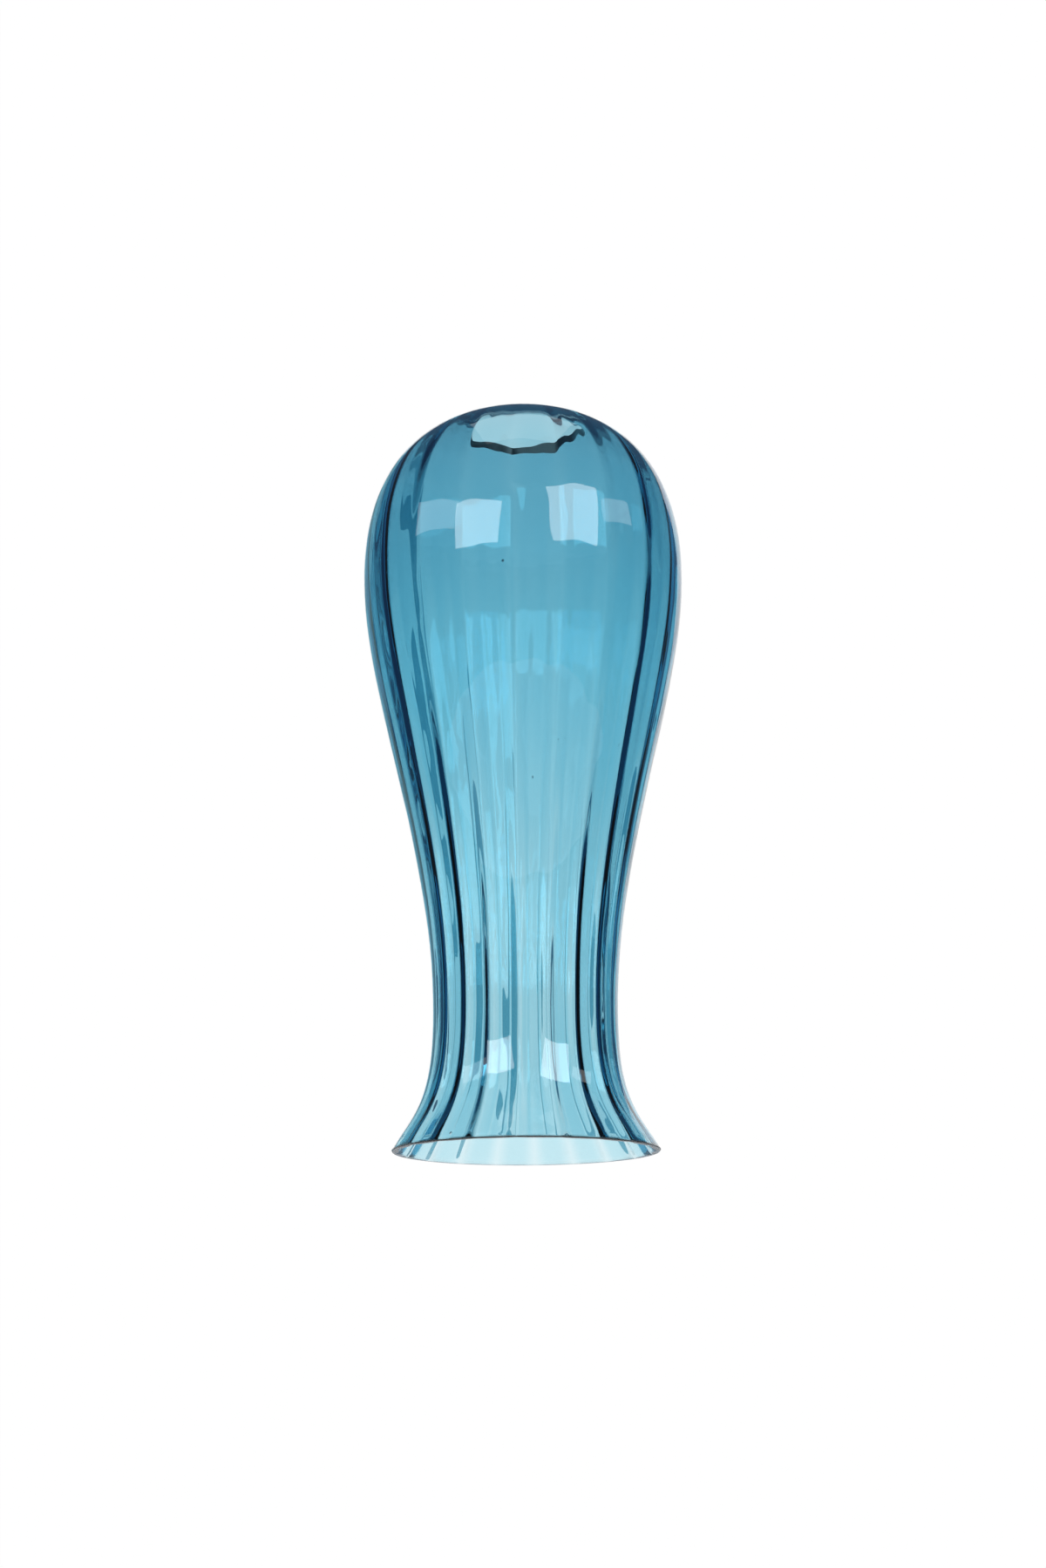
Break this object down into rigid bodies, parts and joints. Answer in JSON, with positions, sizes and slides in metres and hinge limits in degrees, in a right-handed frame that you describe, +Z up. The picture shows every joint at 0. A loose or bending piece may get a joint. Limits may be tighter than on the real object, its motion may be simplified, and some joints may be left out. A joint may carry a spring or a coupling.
{
  "type": "ribbed glass pendant lamp shade",
  "caption": "Tall blue ribbed glass shade, a bulb above a narrow waist and a flared open rim, with a round lamp-holder hole in the crown.",
  "frame": {"origin": "centre of the open mouth, in the plane of the rim", "axes": "+Z up along the shade's axis, from the mouth to the crown hole; X and Y are equal"},
  "size_m": [0.117, 0.117, 0.27],
  "materials": {
    "blue_glass": "clear body-tinted blown glass, fire polished, with a ground rim and a drilled crown hole"
  },
  "bodies": {
    "root": {"glass_shade": "blue_glass"}
  },
  "joints": []
}
